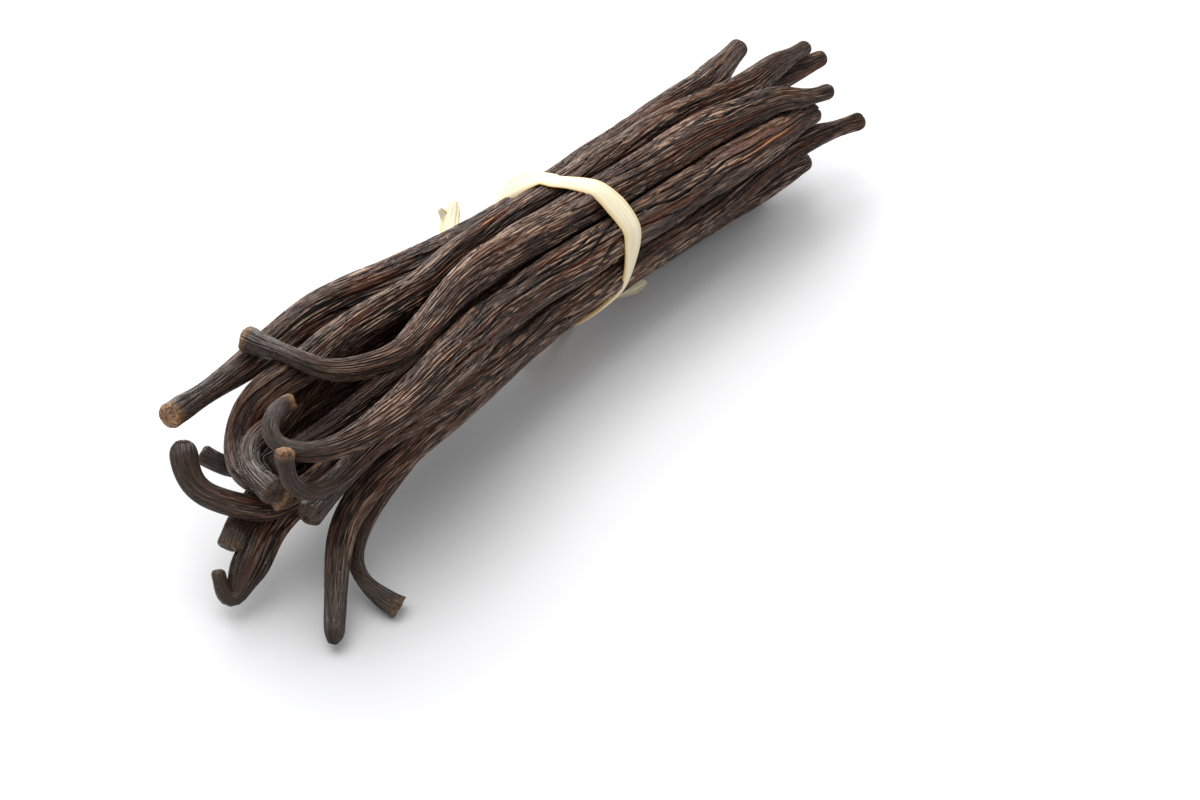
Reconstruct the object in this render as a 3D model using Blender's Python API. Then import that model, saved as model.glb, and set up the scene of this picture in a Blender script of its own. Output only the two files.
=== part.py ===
"""A bundle of fourteen cured vanilla pods, tied once round its middle with raffia.

It lies on a table as it was tied: the hooked stem ends fan out at minus X, the
straight tips at plus X, Y is to the left and Z is up. Sizes are in millimetres,
and turn into metres where a mesh is made.
"""
import math

import bmesh
import bpy
import numpy as np

METRES = 0.001

# The bundle as a whole.
TIE_HEIGHT = 18.4          # the bundle's middle above the table, at the tie
TIP_FALL = math.tan(math.radians(4.0))   # it slopes down to its tips
TIE_RADIUS = 13.2          # the tie draws the pods into this radius
TIE_REACH = 22.0           # how far along the bundle the tie is felt
AIR_GAP = 0.5              # between two pods that lie together

# How finely a pod is worked out.
ROUTE_POINTS = 72          # for settling the pods against each other
FINE_POINTS = 260          # for pressing flats where they touch
POD_SIDES = 9
RING_SPACING = 6.0         # between rings where a pod is straight
RING_TURN = 18.0           # degrees between rings where it bends tightly
SETTLING_ROUNDS = 150

# Each pod: the points that its middle passes, stem end first, and its radii at
# the stem's knob, the stem's neck, the body, the tip's neck and the tip's knob.
PODS = {
    "pod_straight": (
        [(-82, 12, 27), (-62, 12.5, 26.5), (-40, 13, 27.5), (0, 7.5, 24.5), (36.5, 5.5, 22),
         (68, 10.5, 22.5)],
        (2.3, 1.8, 4.1, 2.2, 2.0)),
    "pod_crossing": (
        [(-63, 13, 31), (-61.5, 4.5, 30.5), (-60.5, -1.5, 30), (-53.5, -9, 31.5), (-38, -9.5, 30),
         (0, -5, 27), (36, -5, 25), (67, -11.5, 22)],
        (2.2, 1.5, 4.1, 1.4, 1.6)),
    "pod_outer_hook": (
        [(-76, -8.5, 16.5), (-78, -1, 17.5), (-73.5, 4.5, 19.5), (-64.5, 4, 25.5), (-50, 3.5, 28.5),
         (-22, 1, 28), (0, 1, 27.5), (50, -0.5, 24.5), (75, 0, 23)],
        (2.0, 2.1, 3.6, 1.4, 1.6)),
    "pod_inner_hook": (
        [(-79.5, -9, 21.5), (-79, -2.5, 22), (-74.5, 2.5, 22.5), (-56, 5, 23.5), (0, 3, 21), (46, 3, 21),
         (78, -2, 20)],
        (2.2, 1.7, 3.5, 2.0, 1.7)),
    "pod_short_stem": (
        [(-76, 12, 16), (-72.5, 4.5, 13), (-56.5, 4.5, 16), (0, 1, 16), (62, 1, 12)],
        (1.8, 1.6, 3.0, 1.3, 1.4)),
    "pod_top_hook": (
        [(-69, -3, 30.5), (-75, -3, 30.5), (-78, -7, 29), (-74, -13, 28), (-55, -15, 27), (-27, -11, 25),
         (0, -9.5, 23), (26, -9, 21), (64, -10, 18)],
        (1.9, 1.5, 4.4, 2.8, 2.4)),
    "pod_side_hook": (
        [(-78, -10.5, 30.5), (-81, -12.5, 26), (-77, -14.5, 22), (-57, -12.5, 22), (-23, -11.5, 18.5),
         (5, -10.5, 17), (54, -10, 15), (73.5, -14.5, 13)],
        (1.6, 1.5, 3.8, 1.4, 2.0)),
    "pod_long_drop": (
        [(-85, -25, 2.5), (-76.5, -18, 7), (-70, -13.5, 11), (-54, -12.5, 15), (-23, -10, 14),
         (2, -7, 12.5), (63, -9.5, 7.5)],
        (2.2, 2.4, 3.6, 2.4, 2.0)),
    "pod_flared_drop": (
        [(-72, -27, 2), (-73.5, -22, 4), (-71, -16, 5.5), (-60, -12, 9.5), (-39, -8.5, 11), (2, -2, 8),
         (36, -2, 3.5), (56, -4, 2)],
        (1.8, 1.2, 3.1, 1.3, 1.5)),
    "pod_blunt": (
        [(-77, -12, 16.5), (-61, -10.5, 18), (-16.5, -5.5, 17.5), (10, -4, 16), (57, -5, 12)],
        (2.3, 2.3, 3.1, 1.3, 1.5)),
    "pod_wide_curl": (
        [(-81, 10, 24), (-85.5, 4.5, 18.5), (-82, -1.5, 17), (-75, -6.5, 15.5), (-48, -3, 13),
         (0, 5, 9.5), (36, 5, 4), (61, 3, 2)],
        (2.1, 1.9, 3.2, 1.3, 1.5)),
    "pod_stub": (
        [(-84.5, -2.5, 9.5), (-78.5, -2.5, 12), (-62, 3, 13), (-40, 9, 14.5), (-17, 9.5, 17), (10, 9, 17),
         (67, 6, 15)],
        (2.3, 2.2, 3.0, 1.3, 1.5)),
    "pod_low_curl": (
        [(-88, -3, 8), (-91, -7, 3), (-88, -8, 3), (-85, -4, 8), (-73, -2.5, 12), (-50, -1, 8.5),
         (-26, 4, 9), (2, 8, 12), (68, 4, 9)],
        (1.5, 1.3, 3.4, 1.3, 1.5)),
    "pod_core": (
        [(-74, 0, 17), (-66, -2, 18.5), (-55, -3.5, 20), (-37, -3, 20.5), (0, -2, 20.5), (64, -3, 16)],
        (2.2, 2.2, 2.8, 1.3, 1.5)),
}
STEM_NECK = 8.0            # from the stem end to its neck
STEM_HALF = 14.0           # from there until the pod is half filled out
STEM_HALF_OF = {"pod_crossing": 24.0, "pod_long_drop": 34.0, "pod_wide_curl": 22.0, "pod_low_curl": 2.0}
STEM_FULL = 23.0           # and from there to its full girth
TIP_MARKS = (2.5, 5.0, 11.0, 30.0)       # the same from the tip: knob, neck, half, full
END_ROUNDING = 0.8         # a cut end turns over within this length

# The raffia. Its loop leans back at the top and to the right, and a knot below
# closes it.
LOOP_MIDDLE_X = -2.8
LOOP_LEAN_UP = 0.48        # mm along the bundle for each mm up
LOOP_LEAN_LEFT = -0.57     # and for each mm to the left,
LOOP_LEAN_ENDS = 1.8       # as far as this
LOOP_DISC = 12.6           # the stiff strip bridges hollows outside this radius
LOOP_CLEARANCE = 0.6       # from the pods to the middle of the strip
LOOP_STATIONS = 40
STRIP_FLAT = (4.2, 0.5)    # width and thickness where it lies flat
STRIP_ROLLED = (1.5, 0.8)  # and where it is gathered into a strand
STRIP_TURNS = (75, 110)    # degrees from the top between which it gathers
KNOT_SIZE = (6.0, 5.0, 3.6)
KNOT_HEIGHT = 3.2
TAILS = [
    [(0, 0, 0), (2.5, 9, -1.6), (7, 20, -2.1), (12.5, 30, -1.6), (19, 37.2, 0.4)],
    [(0, 0, 0), (7, 0.5, -1.9), (16, 1.5, -2.4), (24, -1.5, -2.2), (28.5, -3.7, -1.7)],
]
TAIL_STRIP = (3.2, 0.6)

# Colours, as linear RGB.
POD_BROWN = (0.045, 0.030, 0.021, 1.0)
RAFFIA_CREAM = (0.80, 0.70, 0.47, 1.0)


def even_spacing(points, count):
    """The same curve as `count` points, the same distance apart."""
    steps = np.linalg.norm(np.diff(points, axis=0), axis=1)
    run = np.concatenate([[0], np.cumsum(steps)])
    at = np.linspace(0, run[-1], count)
    return np.stack([np.interp(at, run, points[:, k]) for k in range(3)], axis=1)


def smooth_curve(points, count, closed_in=24):
    """A centripetal Catmull-Rom curve through the points, evenly spaced."""
    p = np.array(points, float)
    p = np.concatenate([[2 * p[0] - p[1]], p, [2 * p[-1] - p[-2]]])
    pieces = []
    for a, b, c, d in zip(p, p[1:], p[2:], p[3:]):
        t0 = 0.0
        t1 = t0 + math.sqrt(np.linalg.norm(b - a))
        t2 = t1 + math.sqrt(np.linalg.norm(c - b))
        t3 = t2 + math.sqrt(np.linalg.norm(d - c))
        t = np.linspace(t1, t2, closed_in, endpoint=False)[:, None]
        ab = ((t1 - t) * a + (t - t0) * b) / (t1 - t0)
        bc = ((t2 - t) * b + (t - t1) * c) / (t2 - t1)
        cd = ((t3 - t) * c + (t - t2) * d) / (t3 - t2)
        abc = ((t2 - t) * ab + (t - t0) * bc) / (t2 - t0)
        bcd = ((t3 - t) * bc + (t - t1) * cd) / (t3 - t1)
        pieces.append(((t2 - t) * abc + (t - t1) * bcd) / (t2 - t1))
    return even_spacing(np.concatenate(pieces + [p[-2:-1]]), count)


def run_length(points):
    return float(np.linalg.norm(np.diff(points, axis=0), axis=1).sum())


def girth(name, along, length):
    """The pod's radius at distances `along` it from the stem end."""
    knob, neck, body, tip_neck, tip_knob = PODS[name][1]
    half = STEM_NECK + STEM_HALF_OF.get(name, STEM_HALF)
    stem = np.interp(along, [0, 3, STEM_NECK, half, half + STEM_FULL],
                     [knob, knob, neck, (neck + body) / 2, body])
    tip = np.interp(length - along, [0, *TIP_MARKS],
                    [tip_knob, tip_knob, tip_neck, (tip_neck + body) / 2, body])
    return np.minimum(stem, tip)


def directions(curves):
    along = np.gradient(curves, axis=-2)
    return along / np.linalg.norm(along, axis=-1, keepdims=True)


def settle(curves, radii):
    """Push the pods apart where they would pass through each other.

    Pods that run side by side may press into each other a little, and pods that
    cross may not. The tie draws them together, and the table holds them up.
    """
    count, points, _ = curves.shape
    home = curves.copy()
    pod_of = np.repeat(np.arange(count), points)
    every = np.arange(count)[None, :]
    for _ in range(SETTLING_ROUNDS):
        flat = curves.reshape(-1, 3)
        square = (flat ** 2).sum(1)
        apart = square[:, None] + square[None, :] - 2 * flat @ flat.T
        nearest = apart.reshape(-1, count, points).argmin(2)
        there = curves[every, nearest]
        away = flat[:, None, :] - there
        distance = np.linalg.norm(away, axis=2)
        heading = directions(curves)
        parallel = np.abs((heading.reshape(-1, 1, 3) * heading[every, nearest]).sum(2))
        wanted = (radii.reshape(-1, 1) + radii[every, nearest]) * (1.0 - 0.12 * parallel ** 4)
        short = np.maximum(wanted - distance, 0)
        short[np.arange(count * points), pod_of] = 0
        push = (0.5 * short / np.maximum(distance, 1e-6))[..., None] * away
        push = push.sum(1).reshape(count, points, 3)

        middle = np.stack([np.zeros_like(radii), TIE_HEIGHT - TIP_FALL * curves[..., 0]], axis=-1)
        outward = curves[..., 1:] - middle
        reach = np.linalg.norm(outward, axis=-1)
        excess = np.maximum(reach + radii - TIE_RADIUS, 0) * np.exp(-(curves[..., 0] / TIE_REACH) ** 2)
        push[..., 1:] -= (0.6 * excess / np.maximum(reach, 1e-6))[..., None] * outward
        push += 0.04 * (home - curves)
        for _ in range(3):
            push[:, 1:-1] = 0.25 * push[:, :-2] + 0.5 * push[:, 1:-1] + 0.25 * push[:, 2:]
        curves = curves + 0.8 * push
        curves[..., 2] = np.maximum(curves[..., 2], 0.93 * radii)
        curves[:, 1:-1] += 0.05 * (curves[:, :-2] + curves[:, 2:] - 2 * curves[:, 1:-1])
    return curves


def side_vectors(curve):
    """Two unit vectors across the curve at each point, turning as little as they can."""
    heading = directions(curve)
    side = np.cross([0.0, 0.0, 1.0], heading[0])
    sides = [side / np.linalg.norm(side)]
    for ahead in heading[1:]:
        side = sides[-1] - ahead * (sides[-1] @ ahead)
        sides.append(side / np.linalg.norm(side))
    sides = np.array(sides)
    return sides, np.cross(heading, sides)


def stations(curve):
    """Where a pod gets its rings, as shares of its length: close together at bends."""
    ahead = directions(curve)
    turn = np.degrees(np.arccos(np.clip((ahead[1:] * ahead[:-1]).sum(1), -1, 1)))
    step = np.linalg.norm(np.diff(curve, axis=0), axis=1)
    need = np.concatenate([[0], np.cumsum(step / RING_SPACING + turn / RING_TURN)])
    inner = np.interp(np.linspace(0, need[-1], round(need[-1])), need, np.linspace(0, 1, len(curve)))
    rounding = END_ROUNDING / step.sum()
    return np.concatenate([[0, rounding], inner[1:-1], [1 - rounding, 1]])


def pressed_rings(index, curves, radii):
    """Rings of points round one pod, flattened where its neighbours press on it.

    A point may move out from the pod's middle until it is as deep in a
    neighbour as in its own pod, so two pods meet on one shared face.
    """
    curve, radius = curves[index], radii[index]
    places = stations(curve)
    share = np.linspace(0, 1, FINE_POINTS)
    middle = np.stack([np.interp(places, share, curve[:, k]) for k in range(3)], axis=1)
    sides, ups = side_vectors(middle)
    others = np.delete(curves, index, axis=0).reshape(-1, 3)
    other_radii = np.delete(radii, index, axis=0).reshape(-1)
    angles = np.arange(POD_SIDES) * 2 * math.pi / POD_SIDES
    rings = []
    for place, centre, side, up in zip(places, middle, sides, ups):
        full = np.interp(place, share, radius)
        if place in (0.0, 1.0):
            full *= 0.6
        ray = np.cos(angles)[:, None] * side + np.sin(angles)[:, None] * up
        depths = np.linspace(0.1, 1.0, 16) * full
        points = centre + ray[:, None, :] * depths[None, :, None]
        near = np.linalg.norm(others - centre, axis=1) < 12.0
        own = np.abs(share - place) < 0.06
        inside_own = ((points[..., None, :] - curve[own]) ** 2).sum(-1) - radius[own] ** 2
        inside_other = ((points[..., None, :] - others[near]) ** 2).sum(-1) - other_radii[near] ** 2
        clear = np.full(points.shape[:2], 1.0)
        if near.any():
            clear = inside_other.min(-1) - inside_own.min(-1) - 2 * AIR_GAP * full
        limit = np.full(POD_SIDES, full)
        for k in range(POD_SIDES):
            if (clear[k] < 0).any():
                first = int((clear[k] < 0).argmax())
                limit[k] = depths[0]
                if first > 0:
                    before, after = clear[k, first - 1], clear[k, first]
                    limit[k] = np.interp(0.0, [-before, -after], depths[first - 1:first + 1])
        ring = centre + ray * limit[:, None]
        ring[:, 2] = np.maximum(ring[:, 2], 0.0)
        rings.append(ring)
    return np.array(rings)


def skin(name, rings, closed=False):
    """A closed mesh object through rings of points."""
    count, sides, _ = rings.shape
    rows = count + 1 if closed else count
    bm = bmesh.new()
    bmesh.ops.create_grid(bm, x_segments=rows - 1, y_segments=sides, size=0.5)
    for vertex in bm.verts:
        row = round((vertex.co.x + 0.5) * (rows - 1)) % count
        column = round((vertex.co.y + 0.5) * sides) % sides
        vertex.co = rings[row, column] * METRES
    bmesh.ops.remove_doubles(bm, verts=bm.verts, dist=1e-7)
    edges = [edge for edge in bm.edges if edge.is_boundary]
    if edges:
        bmesh.ops.holes_fill(bm, edges=edges, sides=0)
    bmesh.ops.recalc_face_normals(bm, faces=bm.faces)
    mesh = bpy.data.meshes.new(name)
    bm.to_mesh(mesh)
    bm.free()
    obj = bpy.data.objects.new(name, mesh)
    bpy.context.scene.collection.objects.link(obj)
    return obj


def finish(obj, colour, roughness):
    material = bpy.data.materials.new(obj.name)
    material.use_nodes = True
    shader = material.node_tree.nodes["Principled BSDF"]
    shader.inputs["Base Color"].default_value = colour
    shader.inputs["Roughness"].default_value = roughness
    shader.inputs["Metallic"].default_value = 0.0
    obj.data.materials.append(material)


def loop_route(curves, radii):
    """The middle line of the raffia loop, stretched round the pods it passes."""
    middle = np.array([0.0, TIE_HEIGHT])
    lean = np.array([LOOP_LEAN_LEFT, LOOP_LEAN_UP])
    across = curves[..., 1:] - middle
    beside = np.abs(curves[..., 0] - LOOP_MIDDLE_X - across @ lean) < 4.5
    turn = np.linspace(0, 2 * math.pi, 181)[:-1]
    normal = np.stack([np.sin(turn), np.cos(turn)], axis=1)
    reach = (across[beside] @ normal.T + radii[beside][:, None]).max(0)
    reach = np.maximum(reach, LOOP_DISC) + LOOP_CLEARANCE
    for _ in range(4):
        reach = 0.25 * np.roll(reach, 1) + 0.5 * reach + 0.25 * np.roll(reach, -1)
    slope = (np.roll(reach, -1) - np.roll(reach, 1)) / (2 * turn[1])
    tangent = np.stack([np.cos(turn), -np.sin(turn)], axis=1)
    flat = reach[:, None] * normal + slope[:, None] * tangent
    slant = np.column_stack([np.minimum(flat[:, 0], LOOP_LEAN_ENDS), flat[:, 1]]) @ lean
    route = np.column_stack([LOOP_MIDDLE_X + slant, flat + middle])
    return even_spacing(np.concatenate([route, route[:1]]), LOOP_STATIONS + 1)[:-1]


def strip_rings(route, widths, thicknesses, outward, closed):
    """Four corners of a flat strip at each point of its route."""
    if closed:
        ahead = np.roll(route, -1, axis=0) - np.roll(route, 1, axis=0)
    else:
        ahead = np.gradient(route, axis=0)
    ahead /= np.linalg.norm(ahead, axis=1, keepdims=True)
    across = np.cross(ahead, outward)
    across /= np.linalg.norm(across, axis=1, keepdims=True)
    face = np.cross(across, ahead)
    corners = [(-1, -1), (1, -1), (1, 1), (-1, 1)]
    return np.stack([route + 0.5 * a * widths[:, None] * across + 0.5 * b * thicknesses[:, None] * face
                     for a, b in corners], axis=1)


def raffia_tie(curves, radii):
    """The loop, the knot under it and its two tails, joined into one solid."""
    route = loop_route(curves, radii)
    outward = route - [LOOP_MIDDLE_X, 0.0, TIE_HEIGHT]
    outward[:, 0] = 0.0
    from_top = np.degrees(np.arccos(outward[:, 2] / np.linalg.norm(outward, axis=1)))
    widths = np.interp(from_top, STRIP_TURNS, [STRIP_FLAT[0], STRIP_ROLLED[0]])
    thicknesses = np.interp(from_top, STRIP_TURNS, [STRIP_FLAT[1], STRIP_ROLLED[1]])
    tie = skin("raffia_tie", strip_rings(route, widths, thicknesses, outward, True), closed=True)

    lowest = route[route[:, 2].argmin()]
    knot_at = np.array([lowest[0], lowest[1], KNOT_HEIGHT])
    bm = bmesh.new()
    bmesh.ops.create_uvsphere(bm, u_segments=12, v_segments=7, radius=0.5)
    for vertex in bm.verts:
        vertex.co = (knot_at + np.array(vertex.co) * KNOT_SIZE) * METRES
    mesh = bpy.data.meshes.new("knot")
    bm.to_mesh(mesh)
    bm.free()
    parts = [bpy.data.objects.new("knot", mesh)]
    bpy.context.scene.collection.objects.link(parts[0])
    for number, points in enumerate(TAILS):
        tail = smooth_curve(np.array(points, float) + knot_at, 12)
        taper = np.interp(np.linspace(0, 1, 12), [0, 0.3, 0.8, 1], [0.5, 1, 1, 0.4])
        upward = np.tile([0.0, 0.0, 1.0], (12, 1))
        rings = strip_rings(tail, TAIL_STRIP[0] * taper, np.full(12, TAIL_STRIP[1]), upward, False)
        parts.append(skin(f"tail_{number}", rings))

    for part in parts:
        joint = tie.modifiers.new(part.name, "BOOLEAN")
        joint.operation = "UNION"
        joint.solver = "EXACT"
        joint.object = part
    bpy.context.view_layer.update()
    joined = bpy.data.meshes.new_from_object(tie.evaluated_get(bpy.context.evaluated_depsgraph_get()))
    tie.modifiers.clear()
    tie.data = joined
    for part in parts:
        bpy.data.objects.remove(part, do_unlink=True)
    return tie


for old in list(bpy.data.objects):
    bpy.data.objects.remove(old, do_unlink=True)

rough = [smooth_curve(route, ROUTE_POINTS) for route, _ in PODS.values()]
lengths = [run_length(curve) for curve in rough]
rough_radii = [girth(name, np.linspace(0, length, ROUTE_POINTS), length)
               for name, length in zip(PODS, lengths)]
settled = settle(np.array(rough), np.array(rough_radii))
fine = np.array([smooth_curve(curve, FINE_POINTS, closed_in=8) for curve in settled])
fine_radii = np.array([girth(name, np.linspace(0, run_length(curve), FINE_POINTS), run_length(curve))
                       for name, curve in zip(PODS, fine)])

pieces = [skin(name, pressed_rings(index, fine, fine_radii)) for index, name in enumerate(PODS)]
for piece in pieces:
    finish(piece, POD_BROWN, 0.5)
tie = raffia_tie(fine, fine_radii)
finish(tie, RAFFIA_CREAM, 0.7)
pieces.append(tie)

# The origin goes under the middle of the bundle, on the table.
corners = np.array([tuple(vertex.co) for piece in pieces for vertex in piece.data.vertices])
low, high = corners.min(0), corners.max(0)
bundle = bpy.data.objects.new("bundle", None)
bpy.context.scene.collection.objects.link(bundle)
bundle.location = (-(low[0] + high[0]) / 2, -(low[1] + high[1]) / 2, -low[2])
for piece in pieces:
    piece.parent = bundle
bpy.context.view_layer.update()
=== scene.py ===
"""A bundle of fourteen cured vanilla pods, tied round its middle with a strip of raffia."""
import math

import bmesh
import bpy
import numpy as np
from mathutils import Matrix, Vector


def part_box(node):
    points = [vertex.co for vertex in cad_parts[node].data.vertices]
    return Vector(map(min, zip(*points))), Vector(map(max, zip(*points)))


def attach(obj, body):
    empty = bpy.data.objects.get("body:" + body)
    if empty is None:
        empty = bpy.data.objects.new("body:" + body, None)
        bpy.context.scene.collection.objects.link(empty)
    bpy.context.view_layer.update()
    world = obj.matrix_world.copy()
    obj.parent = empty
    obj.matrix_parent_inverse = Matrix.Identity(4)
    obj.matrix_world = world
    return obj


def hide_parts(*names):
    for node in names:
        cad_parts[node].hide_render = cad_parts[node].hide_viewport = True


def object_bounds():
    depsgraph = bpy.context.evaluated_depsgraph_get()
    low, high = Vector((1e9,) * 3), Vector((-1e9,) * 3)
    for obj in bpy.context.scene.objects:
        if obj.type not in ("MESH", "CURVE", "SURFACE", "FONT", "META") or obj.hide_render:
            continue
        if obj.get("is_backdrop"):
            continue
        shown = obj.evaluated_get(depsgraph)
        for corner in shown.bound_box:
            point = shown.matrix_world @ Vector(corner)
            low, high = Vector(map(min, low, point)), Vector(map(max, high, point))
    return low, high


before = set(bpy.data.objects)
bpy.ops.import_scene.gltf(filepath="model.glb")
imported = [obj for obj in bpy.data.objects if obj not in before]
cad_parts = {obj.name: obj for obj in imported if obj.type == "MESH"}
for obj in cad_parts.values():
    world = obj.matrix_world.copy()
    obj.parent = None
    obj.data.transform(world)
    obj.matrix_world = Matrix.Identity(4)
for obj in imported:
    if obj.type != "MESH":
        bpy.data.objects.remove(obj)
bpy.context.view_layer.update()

# --------------------------------------------------------------------------
# How the pods lie. Fourteen limp cured pods are gathered in the hand and
# drawn together by the tie. Each runs from its hooked stem end at minus X to
# its pointed tip at plus X, and they settle beside and over each other.
# --------------------------------------------------------------------------
MM = 0.001
TIE_HEIGHT = 18.4
TIP_FALL = math.tan(math.radians(4.0))
TIE_RADIUS = 13.2
TIE_REACH = 22.0
SETTLING_ROUNDS = 150
ROUTE_POINTS = 72
CURVE_POINTS = 260

# The points that each pod's middle passes, in mm, stem end first, and its
# radii at the stem's knob, the stem's neck, the body, the tip's neck and knob.
PODS = {
    "pod_straight": (
        [(-82, 12, 27), (-62, 12.5, 26.5), (-40, 13, 27.5), (0, 7.5, 24.5), (36.5, 5.5, 22),
         (68, 10.5, 22.5)],
        (2.3, 1.8, 4.1, 2.2, 2.0)),
    "pod_crossing": (
        [(-63, 13, 31), (-61.5, 4.5, 30.5), (-60.5, -1.5, 30), (-53.5, -9, 31.5), (-38, -9.5, 30),
         (0, -5, 27), (36, -5, 25), (67, -11.5, 22)],
        (2.2, 1.5, 4.1, 1.4, 1.6)),
    "pod_outer_hook": (
        [(-76, -8.5, 16.5), (-78, -1, 17.5), (-73.5, 4.5, 19.5), (-64.5, 4, 25.5), (-50, 3.5, 28.5),
         (-22, 1, 28), (0, 1, 27.5), (50, -0.5, 24.5), (75, 0, 23)],
        (2.0, 2.1, 3.6, 1.4, 1.6)),
    "pod_inner_hook": (
        [(-79.5, -9, 21.5), (-79, -2.5, 22), (-74.5, 2.5, 22.5), (-56, 5, 23.5), (0, 3, 21), (46, 3, 21),
         (78, -2, 20)],
        (2.2, 1.7, 3.5, 2.0, 1.7)),
    "pod_short_stem": (
        [(-76, 12, 16), (-72.5, 4.5, 13), (-56.5, 4.5, 16), (0, 1, 16), (62, 1, 12)],
        (1.8, 1.6, 3.0, 1.3, 1.4)),
    "pod_top_hook": (
        [(-69, -3, 30.5), (-75, -3, 30.5), (-78, -7, 29), (-74, -13, 28), (-55, -15, 27), (-27, -11, 25),
         (0, -9.5, 23), (26, -9, 21), (64, -10, 18)],
        (1.9, 1.5, 4.4, 2.8, 2.4)),
    "pod_side_hook": (
        [(-78, -10.5, 30.5), (-81, -12.5, 26), (-77, -14.5, 22), (-57, -12.5, 22), (-23, -11.5, 18.5),
         (5, -10.5, 17), (54, -10, 15), (73.5, -14.5, 13)],
        (1.6, 1.5, 3.8, 1.4, 2.0)),
    "pod_long_drop": (
        [(-85, -25, 2.5), (-76.5, -18, 7), (-70, -13.5, 11), (-54, -12.5, 15), (-23, -10, 14),
         (2, -7, 12.5), (63, -9.5, 7.5)],
        (2.2, 2.4, 3.6, 2.4, 2.0)),
    "pod_flared_drop": (
        [(-72, -27, 2), (-73.5, -22, 4), (-71, -16, 5.5), (-60, -12, 9.5), (-39, -8.5, 11), (2, -2, 8),
         (36, -2, 3.5), (56, -4, 2)],
        (1.8, 1.2, 3.1, 1.3, 1.5)),
    "pod_blunt": (
        [(-77, -12, 16.5), (-61, -10.5, 18), (-16.5, -5.5, 17.5), (10, -4, 16), (57, -5, 12)],
        (2.3, 2.3, 3.1, 1.3, 1.5)),
    "pod_wide_curl": (
        [(-81, 10, 24), (-85.5, 4.5, 18.5), (-82, -1.5, 17), (-75, -6.5, 15.5), (-48, -3, 13),
         (0, 5, 9.5), (36, 5, 4), (61, 3, 2)],
        (2.1, 1.9, 3.2, 1.3, 1.5)),
    "pod_stub": (
        [(-84.5, -2.5, 9.5), (-78.5, -2.5, 12), (-62, 3, 13), (-40, 9, 14.5), (-17, 9.5, 17), (10, 9, 17),
         (67, 6, 15)],
        (2.3, 2.2, 3.0, 1.3, 1.5)),
    "pod_low_curl": (
        [(-88, -3, 8), (-91, -7, 3), (-88, -8, 3), (-85, -4, 8), (-73, -2.5, 12), (-50, -1, 8.5),
         (-26, 4, 9), (2, 8, 12), (68, 4, 9)],
        (1.5, 1.3, 3.4, 1.3, 1.5)),
    "pod_core": (
        [(-74, 0, 17), (-66, -2, 18.5), (-55, -3.5, 20), (-37, -3, 20.5), (0, -2, 20.5), (64, -3, 16)],
        (2.2, 2.2, 2.8, 1.3, 1.5)),
}
STEM_NECK = 8.0
STEM_HALF = 14.0
STEM_HALF_OF = {"pod_crossing": 24.0, "pod_long_drop": 34.0, "pod_wide_curl": 22.0, "pod_low_curl": 2.0}
STEM_FULL = 23.0
TIP_MARKS = (2.5, 5.0, 11.0, 30.0)


def even_spacing(points, count):
    """The same curve as `count` points, the same distance apart."""
    steps = np.linalg.norm(np.diff(points, axis=0), axis=1)
    run = np.concatenate([[0], np.cumsum(steps)])
    at = np.linspace(0, run[-1], count)
    return np.stack([np.interp(at, run, points[:, k]) for k in range(3)], axis=1)


def smooth_curve(points, count, closed_in=24):
    """A centripetal Catmull-Rom curve through the points, evenly spaced."""
    p = np.array(points, float)
    p = np.concatenate([[2 * p[0] - p[1]], p, [2 * p[-1] - p[-2]]])
    pieces = []
    for a, b, c, d in zip(p, p[1:], p[2:], p[3:]):
        t0 = 0.0
        t1 = t0 + math.sqrt(np.linalg.norm(b - a))
        t2 = t1 + math.sqrt(np.linalg.norm(c - b))
        t3 = t2 + math.sqrt(np.linalg.norm(d - c))
        t = np.linspace(t1, t2, closed_in, endpoint=False)[:, None]
        ab = ((t1 - t) * a + (t - t0) * b) / (t1 - t0)
        bc = ((t2 - t) * b + (t - t1) * c) / (t2 - t1)
        cd = ((t3 - t) * c + (t - t2) * d) / (t3 - t2)
        abc = ((t2 - t) * ab + (t - t0) * bc) / (t2 - t0)
        bcd = ((t3 - t) * bc + (t - t1) * cd) / (t3 - t1)
        pieces.append(((t2 - t) * abc + (t - t1) * bcd) / (t2 - t1))
    return even_spacing(np.concatenate(pieces + [p[-2:-1]]), count)


def run_length(points):
    return float(np.linalg.norm(np.diff(points, axis=0), axis=1).sum())


def girth(name, along, length):
    """The pod's radius at distances `along` it from the stem end."""
    knob, neck, body, tip_neck, tip_knob = PODS[name][1]
    half = STEM_NECK + STEM_HALF_OF.get(name, STEM_HALF)
    stem = np.interp(along, [0, 3, STEM_NECK, half, half + STEM_FULL],
                     [knob, knob, neck, (neck + body) / 2, body])
    tip = np.interp(length - along, [0, *TIP_MARKS],
                    [tip_knob, tip_knob, tip_neck, (tip_neck + body) / 2, body])
    return np.minimum(stem, tip)


def directions(curves):
    along = np.gradient(curves, axis=-2)
    return along / np.linalg.norm(along, axis=-1, keepdims=True)


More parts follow.
